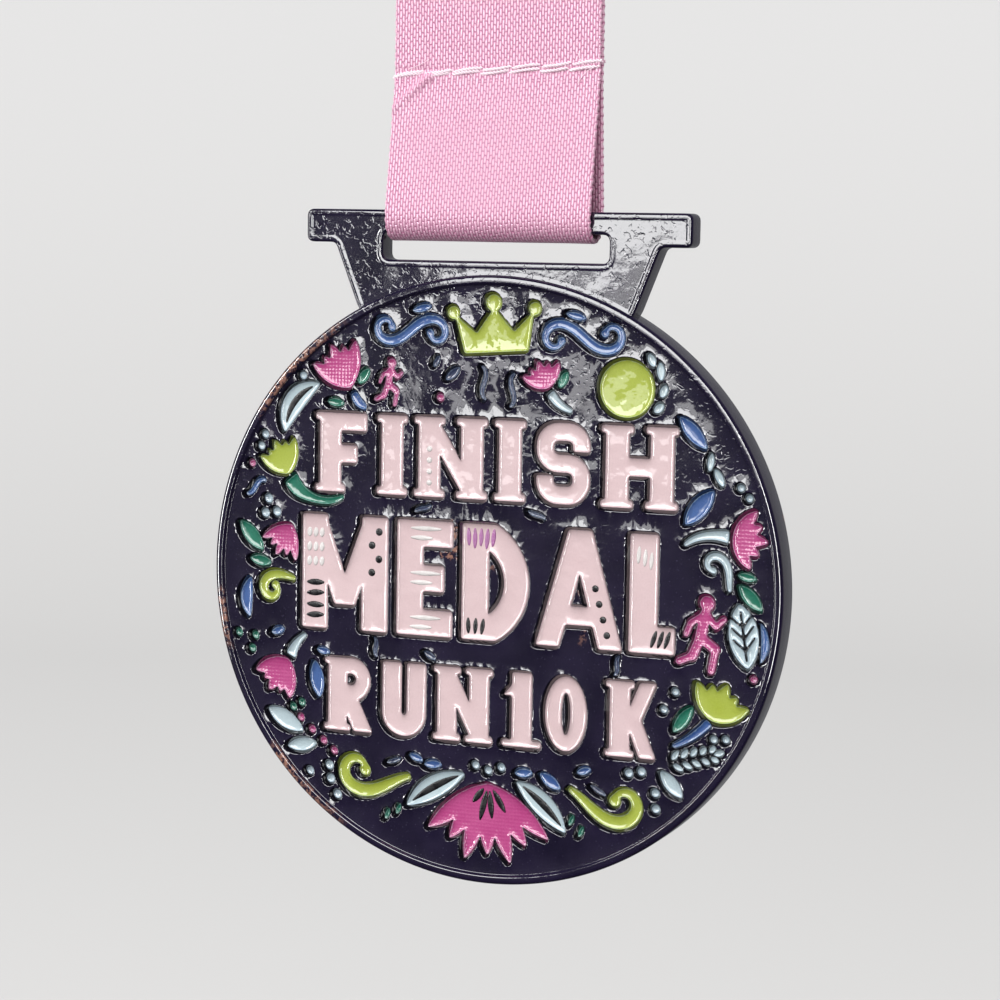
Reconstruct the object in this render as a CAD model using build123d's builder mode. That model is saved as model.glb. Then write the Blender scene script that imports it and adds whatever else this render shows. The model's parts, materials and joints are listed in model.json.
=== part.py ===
from build123d import *
import math
import os

# A finisher medal on a sewn satin ribbon, in millimetres.
# The row's origin is the axis of the ribbon's hanging loop; X runs across the ribbon, -Y is the
# medal's front and +Z is up. Heights inside a medal drawing are taken from the disc's centre.

# Driving dimensions of the casting
disc_radius = 35.0
disc_thickness = 4.0
rim_width = 0.9
rim_height = 0.4
edge_round = 0.4
header_thickness = 3.0
header_top = 42.2
arm_bottom = 38.4
arm_half_width = 23.5
arm_round = 0.7
neck_top_half_width = 19.85
neck_foot_half_width = 17.0
neck_foot_height = 31.2
slot_half_width = 13.8
slot_bottom = 36.5
slot_top = 39.7
bar_round = 0.5

# Driving dimensions of the colours
pocket_depth = 1.1
fill_thickness = 0.35
accent_thickness = 0.05

# Driving dimensions of the ribbon
ribbon_width = 25.0
ribbon_thickness = 0.8
ribbon_shift = -0.7
hang_height = 80.0
hook_clearance_radius = 3.5
layers_part_height = 68.0
fold_height = 60.0
fold_gap = 0.55
seam_height = 57.9
bar_clearance_radius = 1.9
stitch_length = 3.1
stitch_pitch = 3.55
stitch_count = 7
stitch_width = 0.34
stitch_row_gap = 0.75

# Driving dimensions of the lettering
top_row = {"middle": 0.0, "base": 9.4, "height": 9.2, "stem": 2.7, "arm": 2.0, "serif": 0.55}
middle_row = {"middle": -0.8, "base": -6.8, "height": 13.4, "stem": 3.3, "arm": 3.0, "serif": 0.0}
bottom_row = {"middle": 0.0, "base": -18.8, "height": 8.6, "stem": 2.4, "arm": 1.8, "serif": 0.5}

# Values that follow
rim_front = -disc_thickness / 2
field_front = rim_front + rim_height
pocket_floor = field_front + pocket_depth
fill_front = pocket_floor - fill_thickness
bar_axis = (slot_top + header_top) / 2


def face_plane(y):
    """A drawing plane parallel to the medal's face, centred on the disc, facing the front."""
    return Plane(origin=(0, y, -hang_height), x_dir=(1, 0, 0), z_dir=(0, -1, 0))


def polar(x, z, distance, angle):
    """The point at a distance and an angle, in degrees, from a point."""
    turn = math.radians(angle)
    return x + distance * math.cos(turn), z + distance * math.sin(turn)


# Strokes and leaves, each drawn into the sketch that is open

def upright(x0, z0, x1, z1, width):
    """A straight stroke with level ends; width is measured level."""
    half = width / 2
    Polygon((x0 - half, z0), (x0 + half, z0), (x1 + half, z1), (x1 - half, z1), align=None)


def level(x0, x1, z, height):
    """A level stroke between two sides, centred on a height."""
    with Locations(((x0 + x1) / 2, z)):
        Rectangle(x1 - x0, height)


def brush(points, widths, mode=Mode.ADD):
    """A stroke with a width at each of its points, running out to a blunt point at both ends."""
    left = []
    right = []
    for i, (x, z) in enumerate(points):
        before = points[max(i - 1, 0)]
        after = points[min(i + 1, len(points) - 1)]
        run = math.atan2(after[1] - before[1], after[0] - before[0])
        side_x = -math.sin(run) * widths[i] / 2
        side_z = math.cos(run) * widths[i] / 2
        left.append((x + side_x, z + side_z))
        right.append((x - side_x, z - side_z))
    with BuildLine() as outline:
        Spline(*left)
        Line(left[-1], right[-1])
        Spline(*right)
        Line(right[0], left[0])
    make_face(outline.line, mode=mode)


def leaf(x, z, angle, length, width, bend=0.0, mode=Mode.ADD):
    """A pointed leaf from its base; bend pushes its middle to the left of its run."""
    middle = polar(*polar(x, z, length / 2, angle), bend, angle + 90)
    tip = polar(x, z, length, angle)
    with BuildLine() as outline:
        ThreePointArc((x, z), polar(*middle, width / 2, angle + 90), tip)
        ThreePointArc(tip, polar(*middle, -width / 2, angle + 90), (x, z))
    make_face(outline.line, mode=mode)


def fan(x, z, angle, spread, count, length, width):
    """Petals from one base, spread evenly to both sides of an angle."""
    for i in range(count):
        turn = spread * (2 * i / (count - 1) - 1)
        reach = length * (1 - 0.12 * (i % 2))
        leaf(x, z, angle + turn, reach, width)


def curl(x, z, angle, start, end, tightness, width, mode=Mode.ADD):
    """A scroll through (x, z), running there at an angle, whose bend grows evenly away from it.

    start and end are lengths along it; it bends one way before (x, z) and the other way after.
    """
    step = 0.3
    count = max(round((end - start) / step), 10)
    at = [start + (end - start) * i / count for i in range(count + 1)]
    px = [0.0]
    pz = [0.0]
    for a, b in zip(at, at[1:]):
        turn = math.radians(angle) + tightness * ((a + b) / 2) ** 2
        px.append(px[-1] + (b - a) * math.cos(turn))
        pz.append(pz[-1] + (b - a) * math.sin(turn))
    zero = min(range(count + 1), key=lambda i: abs(at[i]))
    points = [(x + px[i] - px[zero], z + pz[i] - pz[zero]) for i in range(count + 1)]
    widths = [width * (0.4 + 0.6 * math.sin(math.pi * (i + 0.5) / (count + 1))) for i in range(count + 1)]
    brush(points, widths, mode=mode)
    for place, reach in ((points[0], -start), (points[-1], end)):
        if reach > 4:
            dots((place,), width * 0.45)


def dots(places, radius):
    """Round dots at places."""
    with Locations(*places):
        Circle(radius)


# Letters, each drawn from its left side x on a row, to a width

def row_top(row):
    """The height of a row's upper edge."""
    return row["base"] + row["height"]


def stem(x, row):
    """A letter's upright stroke from its left side, with short level feet on a row that has them."""
    middle = x + row["stem"] / 2
    upright(middle, row["base"], middle, row_top(row), row["stem"])
    if row["serif"]:
        foot = row["arm"] * 0.4
        for height in (row["base"] + foot / 2, row_top(row) - foot / 2):
            level(x - row["serif"], x + row["stem"] + row["serif"], height, foot)


def arm(x0, x1, row, share):
    """A letter's level stroke, from the row's base (0) to its top (1)."""
    travel = row["height"] - row["arm"]
    level(x0, x1, row["base"] + row["arm"] / 2 + share * travel, row["arm"])


def bowl(x, row, width, low):
    """A letter's round side, from a share of the row's height up to its top."""
    left = x + row["stem"] / 2
    turn = x + width * 0.45
    foot = row["base"] + low * row["height"] + row["arm"] / 2
    head = row_top(row) - row["arm"] / 2
    with BuildLine() as path:
        Line((left, foot), (turn, foot))
        ThreePointArc((turn, foot), (x + width - row["stem"] / 2, (foot + head) / 2), (turn, head))
        Line((turn, head), (left, head))
    trace(path.line, line_width=row["arm"])


def letter_a(x, row, width):
    apex = x + width / 2
    leg = row["stem"] * 0.85
    upright(x + leg / 2, row["base"], apex, row_top(row), leg)
    upright(x + width - leg / 2, row["base"], apex, row_top(row), leg)
    level(x + width * 0.25, x + width * 0.75, row["base"] + row["height"] * 0.27, row["arm"] * 0.7)


def letter_d(x, row, width):
    stem(x, row)
    bowl(x, row, width, 0.0)


def letter_e(x, row, width):
    stem(x, row)
    for share, reach in ((0.0, 1.0), (0.5, 0.85), (1.0, 1.0)):
        arm(x, x + width * reach, row, share)


def letter_f(x, row, width):
    stem(x, row)
    arm(x, x + width * 0.8, row, 0.48)
    arm(x, x + width, row, 1.0)


def letter_h(x, row, width):
    stem(x, row)
    stem(x + width - row["stem"], row)
    arm(x, x + width, row, 0.5)


def letter_i(x, row, width):
    stem(x + (width - row["stem"]) / 2, row)


def letter_k(x, row, width):
    stem(x, row)
    leg = row["stem"] * 0.8
    right = x + width - leg / 2
    upright(x + row["stem"], row["base"] + row["height"] * 0.4, right, row_top(row), leg)
    upright(right, row["base"], x + row["stem"], row["base"] + row["height"] * 0.6, leg)


def letter_l(x, row, width):
    stem(x, row)
    arm(x, x + width, row, 0.0)


def letter_m(x, row, width):
    stem(x, row)
    stem(x + width - row["stem"], row)
    dip = row["base"] + row["height"] * 0.22
    for side in (x + row["stem"] / 2, x + width - row["stem"] / 2):
        upright(x + width / 2, dip, side, row_top(row), row["stem"] * 0.8)


def letter_n(x, row, width):
    stem(x, row)
    stem(x + width - row["stem"], row)
    slant = row["stem"] * 0.8
    upright(x + width - slant / 2, row["base"], x + slant / 2, row_top(row), slant)


def letter_r(x, row, width):
    stem(x, row)
    bowl(x, row, width, 0.42)
    foot = x + width - row["stem"] / 2
    upright(foot, row["base"], x + row["stem"], row["base"] + row["height"] * 0.5, row["stem"])


def letter_s(x, row, width):
    half = row["arm"] / 2
    left, right = x + half, x + width - half
    low, high = row["base"] + half, row_top(row) - half
    middle = (low + high) / 2
    hook = row["arm"] * 1.1
    with BuildLine() as path:
        FilletPolyline(
            (right, high - hook), (right, high), (left, high), (left, middle), (right, middle),
            (right, low), (left, low), (left, low + hook),
            radius=(middle - low) * 0.45,
        )
    trace(path.line, line_width=row["arm"])


def letter_u(x, row, width):
    left = x + row["stem"] / 2
    right = x + width - row["stem"] / 2
    turn = row["base"] + width / 2
    with BuildLine() as path:
        Line((left, row_top(row)), (left, turn))
        ThreePointArc((left, turn), (x + width / 2, row["base"] + row["stem"] / 2), (right, turn))
        Line((right, turn), (right, row_top(row)))
    trace(path.line, line_width=row["stem"])


def digit_0(x, row, width):
    with Locations((x + width / 2, row["base"] + row["height"] / 2)):
        Ellipse(width / 2, row["height"] / 2)
        Ellipse(width / 2 - row["stem"] * 0.8, row["height"] / 2 - row["arm"], mode=Mode.SUBTRACT)


def digit_1(x, row, width):
    middle = x + width - row["stem"] / 2 - row["serif"]
    upright(middle, row["base"], middle, row_top(row), row["stem"])
    upright(x, row_top(row) - row["arm"] * 1.5, middle, row_top(row) - row["arm"] * 0.4, row["arm"] * 0.6)
    level(middle - row["stem"], middle + row["stem"], row["base"] + row["arm"] * 0.2, row["arm"] * 0.4)


# Each line of lettering: its row, where it starts, and its letters with their width and the gap after
top_line = (
    (letter_f, 6.0, 1.9),
    (letter_i, 2.7, 2.0),
    (letter_n, 8.0, 2.0),
    (letter_i, 2.7, 1.9),
    (letter_s, 6.4, 1.9),
    (letter_h, 8.0, 0.0),
)
middle_line = (
    (letter_m, 11.0, 1.2),
    (letter_e, 7.0, 1.2),
    (letter_d, 8.4, 0.8),
    (letter_a, 10.4, 0.8),
    (letter_l, 5.4, 0.0),
)
bottom_line = (
    (letter_r, 5.7, 1.3),
    (letter_u, 5.5, 1.5),
    (letter_n, 6.4, 2.4),
    (digit_1, 3.4, 1.2),
    (digit_0, 5.0, 2.8),
    (letter_k, 5.5, 0.0),
)


def letter_sides(line, row):
    """The left side of each letter of a line, which is centred on the row's middle."""
    sides = [row["middle"] - sum(width + gap for _, width, gap in line) / 2]
    for _, width, gap in line[:-1]:
        sides.append(sides[-1] + width + gap)
    return sides


def spell(prefix, line, row):
    """The drawings of a line of lettering: each letter's name, what draws it, and with what."""
    sides = letter_sides(line, row)
    return [
        (f"{prefix}_{number}", letter, (side, row, width))
        for number, ((letter, width, _), side) in enumerate(zip(line, sides), start=1)
    ]


# Ornaments. A leaf that also carries a painted midline keeps its base, angle and length here.

left_leaf = (-10.1, -27.0, 31, 8.6)
right_leaf = (3.6, -22.9, -41, 8.2)
leaf_bend = 0.4
crescent_leaf = (-21.8, 21.9, 232, 7.4)
crescent_bend = -1.3


def crown():
    tilt = 4.0
    base = 26.3
    half_base = 3.9
    tips = ((-5.0, 4.7, 0.75), (0.0, 5.6, 0.95), (5.0, 4.7, 0.75))
    with Locations(Location((0.3, base), tilt)):
        Polygon(
            (-half_base, 0), (half_base, 0), (4.8, 4.4), (2.3, 2.2), (0, 5.0), (-2.3, 2.2), (-4.8, 4.4),
            align=None,
        )
        for x, z, radius in tips:
            with Locations((x, z)):
                Circle(radius)


def top_scroll_left():
    curl(-10.3, 28.5, 40, -8.4, 8.4, -0.078, 1.0)
    leaf(-10.2, 30.7, 15, 2.6, 0.8)


def top_scroll_right():
    curl(10.9, 28.2, -40, -8.8, 8.8, 0.068, 1.0)
    leaf(8.6, 30.9, -12, 2.6, 0.8)


def sun_disc():
    with Locations((16.1, 22.7)):
        Circle(3.2)


def sun_rays():
    for angle, reach in ((-38, 1.5), (-12, 1.6), (14, 2.2), (38, 1.7)):
        leaf(*polar(16.1, 22.7, 4.1, angle), angle + 80, reach, 0.85)


def tulip_upper_left():
    fan(-17.9, 21.6, 118, 34, 5, 5.6, 1.8)


def tulip_upper_middle():
    fan(6.6, 22.4, 112, 46, 5, 3.4, 1.15)


def tulip_left():
    fan(-25.7, 11.2, 118, 36, 5, 4.4, 1.5)


def flower_left():
    fan(-25.3, 5.2, 240, 36, 5, 4.4, 1.15)


def bell_flower():
    fan(-25.6, -10.9, 236, 36, 5, 4.7, 1.7)


def flower_bottom():
    fan(0.2, -23.4, -90, 52, 7, 9.6, 2.2)


def flower_right():
    fan(28.8, 6.9, -6, 54, 5, 4.1, 1.4)


def flower_right_lime():
    fan(26.8, -13.8, 66, 46, 5, 4.7, 1.7)


def limb(x0, z0, x1, z1, width, mode=Mode.ADD):
    """A straight stroke with round ends."""
    reach = math.hypot(x1 - x0, z1 - z0)
    turn = math.degrees(math.atan2(z1 - z0, x1 - x0))
    with Locations(Location(((x0 + x1) / 2, (z0 + z1) / 2), turn)):
        SlotCenterToCenter(reach, width, mode=mode)


def runner(x, z, height):
    """A plain running figure of rounded limbs with a round head, standing on (x, z)."""
    joints = {
        "head": (0.06, 0.9), "neck": (0.04, 0.76), "hip": (-0.02, 0.46),
        "front_elbow": (0.18, 0.61), "front_hand": (0.29, 0.71), "back_elbow": (-0.15, 0.64),
        "back_hand": (-0.21, 0.49), "front_knee": (0.18, 0.32), "front_foot": (0.13, 0.04),
        "back_knee": (-0.12, 0.22), "back_foot": (-0.3, 0.14),
    }
    at = {name: (x + u * height, z + v * height) for name, (u, v) in joints.items()}
    thick = height * 0.1
    with Locations(at["head"]):
        Circle(height * 0.095)
    for start, end, share in (
        ("neck", "hip", 1.35), ("neck", "front_elbow", 0.8), ("front_elbow", "front_hand", 0.7),
        ("neck", "back_elbow", 0.8), ("back_elbow", "back_hand", 0.7), ("hip", "front_knee", 1.15),
        ("front_knee", "front_foot", 0.85), ("hip", "back_knee", 1.15), ("back_knee", "back_foot", 0.85),
    ):
        limb(*at[start], *at[end], thick * share)


def small_runner():
    runner(-13.0, 19.6, 5.6)


def large_runner():
    runner(25.5, -8.6, 8.8)


def crescent_upper_left():
    leaf(*crescent_leaf, 2.5, bend=crescent_bend)


def crescents_blue():
    leaf(-30.6, -1.3, 268, 4.9, 1.5, bend=-0.6)
    leaf(32.2, -2.4, 271, 4.6, 0.8, bend=0.55)


def spiral_left():
    curl(-25.4, -1.1, 165, -0.5, 8.2, 0.088, 1.15)


def bottom_scroll_left():
    curl(-12.1, -24.5, 208, -2.8, 11.8, -0.038, 1.5)


def bottom_scroll_right():
    curl(12.3, -24.6, -40, -2.6, 11.8, 0.038, 1.5)


def leaf_bottom_left():
    leaf(*left_leaf, 2.5, bend=leaf_bend)


def leaf_bottom_right():
    leaf(*right_leaf, 2.5, bend=leaf_bend)


def veined_leaf():
    base = (30.9, -7.7)
    rise = 99
    leaf(*base, rise, 7.3, 3.4)
    limb(*polar(*base, 0.9, rise), *polar(*base, 6.4, rise), 0.34, mode=Mode.SUBTRACT)
    for along in (2.0, 3.3, 4.6):
        vein = polar(*base, along, rise)
        for side in (-42, 42):
            limb(*vein, *polar(*vein, 1.9, rise + side), 0.3, mode=Mode.SUBTRACT)


def fern():
    base = (22.0, -19.0)
    run = 15
    for i in range(5):
        joint = polar(*base, 0.2 + 1.15 * i, run)
        for side in (-50, 50):
            leaf(*polar(*joint, 0.34, run + side), run + side * 0.8, 1.4 - 0.1 * i, 0.6)
    leaf(*polar(*base, 5.4, run), run, 1.3, 0.6)


def leaves_green():
    leaf(-16.9, 22.1, 52, 2.3, 1.1)
    leaf(-20.9, 19.9, -4, 2.3, 0.9)
    leaf(8.0, 22.5, 62, 2.2, 0.95)
    leaf(-32.2, 5.3, -47, 4.6, 1.8)
    leaf(-30.9, 0.9, -8, 3.0, 1.2)
    leaf(29.6, 1.6, -45, 3.9, 1.5)
    leaf(29.4, 2.7, -10, 2.3, 0.9)
    leaf(22.4, -15.5, 54, 3.9, 1.3)


def leaves_blue():
    leaf(23.2, 7.9, 50, 5.2, 1.9)
    leaf(22.3, 19.9, -47, 4.8, 1.6)
    leaf(-22.2, -10.7, 279, 4.5, 1.7)
    leaf(-22.0, -9.4, -8, 1.9, 0.8)
    leaf(-28.0, -7.9, 20, 2.0, 0.8)
    leaf(-9.9, -20.9, -18, 2.0, 0.8)
    leaf(-8.0, -21.9, 4, 2.4, 0.9)
    leaf(3.4, -21.9, 6, 2.3, 1.0)
    leaf(6.5, -21.6, -33, 3.1, 1.25)
    leaf(11.0, -21.2, 20, 1.9, 0.8)
    curl(-30.3, 9.3, 60, -1.6, 1.9, -0.5, 0.55)


def leaves_sky():
    leaf(-28.3, -16.9, -27, 5.3, 2.0)
    leaf(-25.7, -21.3, 10, 4.0, 1.5)
    leaf(21.0, -20.0, -47, 3.9, 1.5)
    leaf(27.6, 12.3, 118, 2.3, 0.8)
    leaf(25.9, 13.9, 82, 2.2, 0.7)


def stems_blue():
    brush(((-17.5, 21.0), (-16.9, 20.0), (-15.9, 19.3)), (0.8, 1.0, 0.5))
    brush(((26.6, -14.0), (24.9, -15.6), (22.4, -17.1)), (0.9, 0.75, 0.4))


def stems_green():
    path = ((-25.5, 10.7), (-24.4, 9.3), (-22.4, 8.4), (-20.2, 8.3), (-18.6, 8.9))
    brush(path, (1.9, 1.6, 0.9, 0.7, 0.3))


def stems_sky():
    brush(((7.0, 21.9), (7.9, 20.8), (9.6, 19.9)), (1.0, 0.8, 0.4))
    brush(((-25.3, -10.4), (-24.6, -8.9), (-23.3, -7.7)), (1.3, 0.8, 0.35))
    brush(((28.3, 6.8), (26.6, 6.9), (24.9, 6.6), (23.2, 5.6)), (1.3, 0.9, 0.7, 0.35))
    curl(28.5, 1.9, 92, -1.2, 6.2, 0.125, 0.75)


def dots_pale():
    dots(((-24.0, 22.8), (-28.9, 15.7), (-29.4, 14.3), (-1.4, -21.4), (0.2, -21.9), (1.8, -21.4)), 0.42)
    dots(((-20.1, -23.1), (-19.9, -24.7), (-19.0, -26.5)), 0.5)
    dots(((17.3, -20.6), (18.8, -20.3), (20.5, -22.6), (20.6, -24.4), (-22.6, -24.0)), 0.45)
    dots(((-28.4, 8.1), (-27.3, 6.6), (-28.8, 6.4)), 0.5)
    dots(((29.6, 12.3), (30.6, 11.2), (22.6, -10.9), (21.3, -13.0), (27.2, -15.9), (28.6, -15.8)), 0.38)


def dots_pink():
    dots(((-6.5, 20.9), (-23.9, -17.7), (-22.4, -19.0), (-20.9, -20.2), (-19.5, -21.3)), 0.42)
    dots(((-30.6, 12.2), (31.6, -8.8)), 0.38)


def dashes_green():
    for x, z in ((-11.4, -28.2), (-12.8, -28.9), (10.2, -27.4), (11.4, -28.6)):
        leaf(x, z, 68, 1.5, 0.5)
    dots(((-32.2, -8.1), (-30.4, -9.9), (-30.0, -8.3), (-23.8, -15.9), (-24.9, -16.5)), 0.42)


def dark_curls():
    curl(-1.2, 22.6, 70, -2.2, 2.2, 0.34, 0.5)
    curl(2.4, 21.9, 110, -2.2, 2.2, -0.34, 0.5)
    leaf(-5.9, 22.9, 40, 2.4, 0.9)
    leaf(-7.4, 24.3, 62, 1.6, 0.6)
    curl(-8.5, 8.0, 10, -1.2, 1.2, 0.5, 0.45)
    curl(5.6, 8.0, -10, -1.2, 1.2, -0.5, 0.45)
    curl(-14.3, -8.6, 75, -1.3, 1.3, 0.9, 0.45)
    curl(15.6, -8.5, 100, -1.3, 1.3, -0.9, 0.45)
    leaf(-8.2, -8.6, -30, 1.9, 0.7)
    leaf(-12.8, -22.2, 20, 2.2, 0.5)
    leaf(12.6, -22.4, -28, 2.4, 0.5)


ornaments = (
    crown, top_scroll_left, top_scroll_right, sun_disc, sun_rays, tulip_upper_left, tulip_upper_middle,
    tulip_left, flower_left, bell_flower, flower_bottom, flower_right, flower_right_lime, small_runner,
    large_runner, crescent_upper_left, crescents_blue, spiral_left, bottom_scroll_left,
    bottom_scroll_right, leaf_bottom_left, leaf_bottom_right, veined_leaf, fern, leaves_green,
    leaves_blue, leaves_sky, stems_blue, stems_green, stems_sky, dots_pale, dots_pink, dashes_green,
    dark_curls,
)
drawings = spell("top_letter", top_line, top_row)
drawings += spell("middle_letter", middle_line, middle_row)
drawings += spell("bottom_letter", bottom_line, bottom_row)
drawings += [(ornament.__name__, ornament, ()) for ornament in ornaments]


# Paint on the colours

def midline(x, z, angle, length, bend, inset, width):
    """A narrow stripe along the middle of a bent leaf, short of both its ends."""
    rise = bend * (1 - (1 - 2 * inset / length) ** 2)
    base = polar(*polar(x, z, inset, angle), rise, angle + 90)
    leaf(*base, angle, length - 2 * inset, width, bend=bend - rise)


def along_leg(share):
    """A place on the right leg of the middle row's A, from its foot (0) to its apex (1)."""
    left = letter_sides(middle_line, middle_row)[3]
    width = middle_line[3][1]
    foot = left + width - middle_row["stem"] * 0.42
    return foot + share * (left + width / 2 - foot), middle_row["base"] + share * middle_row["height"]


def accents_black():
    for angle, reach in ((-128, 2.2), (-103, 3.7), (-84, 3.3), (-58, 3.0)):
        leaf(*polar(0.2, -23.3, 1.0, angle), angle, reach, 0.62)
    midline(*left_leaf, leaf_bend, 0.9, 0.7)
    midline(*right_leaf, leaf_bend, 0.9, 0.7)
    midline(*crescent_leaf, crescent_bend, 0.9, 0.6)
    left_m, _, left_d, _, left_l = letter_sides(middle_line, middle_row)
    right_m = left_m + middle_line[0][1]
    foot = middle_row["base"]
    for i, tilt in enumerate((3, -2, 4, 1)):
        leaf(left_m + 0.5, foot + 1.4 + 1.3 * i, tilt, middle_row["stem"] - 1.0, 0.6)
        dots(((right_m - 1.2 - 0.9 * (i % 2), 4.9 - 1.6 * i),), 0.38)
        dots((along_leg(0.12 + 0.13 * i),), 0.34)
    for i in range(3):
        leaf(left_d + 0.85 + 0.8 * i, foot + 0.6, 92 - 5 * i, 1.9, 0.42)
        leaf(left_l + 2.6 + 0.8 * i, foot + 0.6, 72, 2.1, 0.42)


def accents_violet():
    left_d = letter_sides(middle_line, middle_row)[2]
    for i in range(5):
        leaf(left_d + 0.7 + 0.8 * i, 6.1, -88 - 2 * i, 2.1 + 0.3 * (i % 2), 0.42)


def accents_white():
    left_m, left_e, _, _, left_l = letter_sides(middle_line, middle_row)
    travel = middle_row["height"] - middle_row["arm"]
    for i in range(3):
        for j in range(3):
            leaf(left_m + 0.8 + 0.8 * i, 3.9 - 1.7 * j, 86, 1.1, 0.5)
        leaf(left_l + 0.9 + 0.75 * i, 3.2 - 0.3 * i, 86, 2.0, 0.36)
        arm_middle = middle_row["base"] + middle_row["arm"] / 2 + i * travel / 2
        for rise in (-0.55, 0.55):
            leaf(left_e + 1.6, arm_middle + rise, 0, 3.4 + rise, 0.42)
    left_n = letter_sides(top_line, top_row)[2]
    for i in range(4):
        dots(((left_n + 1.3, top_row["base"] + 1.6 + 1.3 * i),), 0.27)


# The colours and the paint on them, one node for each

def save(piece, name):
    """Label a finished piece and write it."""
    piece.part.label = name
    export_step(piece.part, f"parts/{name}.step")


os.makedirs("parts", exist_ok=True)
outlines = []
for name, draw, values in drawings:
    with BuildSketch() as outline:
        draw(*values)
    outlines.append(outline.sketch)
    with BuildPart() as fill:
        with BuildSketch(face_plane(pocket_floor)):
            add(outline.sketch)
        extrude(amount=fill_thickness)
    save(fill, name)

for draw in (accents_black, accents_violet, accents_white):
    with BuildPart() as paint:
        with BuildSketch(face_plane(fill_front)):
            draw()
        extrude(amount=accent_thickness)
    save(paint, draw.__name__)


# The casting: disc, rim and header in one piece, with a pocket under every colour

with BuildPart() as casting:
    with BuildSketch(face_plane(header_thickness / 2)):
        with BuildLine():
            Polyline(
                (0, header_top), (arm_half_width, header_top), (arm_half_width, arm_bottom),
                (neck_top_half_width, arm_bottom), (neck_foot_half_width, neck_foot_height),
                (12, 24), (0, 24),
            )
            mirror(about=Plane.YZ)
        make_face()
        fillet([v for v in vertices() if v.Y > arm_bottom - 0.1 and abs(v.X) > 1], arm_round)
        with Locations((0, (slot_top + slot_bottom) / 2)):
            RectangleRounded(2 * slot_half_width, slot_top - slot_bottom, arm_round, mode=Mode.SUBTRACT)
    extrude(amount=header_thickness)
    fillet(casting.faces().filter_by(Axis.Y).edges(), bar_round)
    with BuildSketch(face_plane(-rim_front)):
        Circle(disc_radius)
    extrude(amount=disc_thickness)
    rounds = casting.edges().filter_by(GeomType.CIRCLE)
    outer_rounds = rounds.filter_by(lambda edge: abs(edge.radius - disc_radius) < 0.01)
    rim_edges = outer_rounds.filter_by(lambda edge: abs(abs(edge.center().Y) - disc_thickness / 2) < 0.01)
    fillet(rim_edges, edge_round)
    with BuildSketch(face_plane(rim_front)):
        Circle(disc_radius - rim_width)
    extrude(amount=-rim_height, mode=Mode.SUBTRACT)
    with BuildSketch(face_plane(pocket_floor)):
        for shape in outlines:
            add(shape)
    extrude(amount=disc_thickness, mode=Mode.SUBTRACT)
save(casting, "casting")


# The ribbon: one band, folded over the hook, sewn through below it and looped round the header's bar

def touching_point(centre, radius, y, z):
    """Where a straight line from (y, z) touches a circle round (0, centre), on the side of y."""
    away = 1 if z > centre else -1
    distance = math.hypot(y, z - centre)
    angle = math.atan2(z - centre, y) - away * math.acos(radius / distance)
    return radius * math.cos(angle), centre + radius * math.sin(angle)


def band(centre, radius, join, end):
    """A section of two ribbon layers, together from end to join, then apart round a circle."""
    away = 1 if join > centre else -1
    outer = radius + ribbon_thickness
    y, z = touching_point(centre, outer, ribbon_thickness, join)
    with BuildLine() as outside:
        Polyline((-y, z), (-ribbon_thickness, join), (-ribbon_thickness, end), (ribbon_thickness, end))
        Polyline((ribbon_thickness, end), (ribbon_thickness, join), (y, z))
        ThreePointArc((y, z), (0, centre - away * outer), (-y, z))
    make_face(outside.line)
    y, z = touching_point(centre, radius, 0.01, join)
    with BuildLine() as inside:
        Polyline((-y, z), (0, join), (y, z))
        ThreePointArc((y, z), (0, centre - away * radius), (-y, z))
    make_face(inside.line, mode=Mode.SUBTRACT)


left_edge = ribbon_shift - ribbon_width / 2
with BuildPart() as neck_ribbon:
    with BuildSketch(Plane.YZ.offset(left_edge)):
        band(
            0, hook_clearance_radius,
            layers_part_height - hang_height, fold_height + fold_gap - hang_height,
        )
    extrude(amount=ribbon_width)
save(neck_ribbon, "neck_ribbon")

with BuildPart() as medal_loop:
    with BuildSketch(Plane.YZ.offset(left_edge)):
        band(
            bar_axis - hang_height, bar_clearance_radius,
            seam_height - 1.0 - hang_height, fold_height - fold_gap - hang_height,
        )
    extrude(amount=ribbon_width)
save(medal_loop, "medal_loop")

# Two rows of stitches on each side of the seam

with BuildPart() as seam_thread:
    for face in (-ribbon_thickness, ribbon_thickness + stitch_width):
        with BuildSketch(face_plane(face)):
            with Locations((ribbon_shift, seam_height)):
                with GridLocations(stitch_pitch, stitch_row_gap, stitch_count, 2):
                    SlotOverall(stitch_length, stitch_width)
        extrude(amount=stitch_width)
save(seam_thread, "seam_thread")
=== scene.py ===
import json
import math

import bpy
import numpy as np
from mathutils import Matrix, Quaternion, Vector, geometry, kdtree, noise

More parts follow.
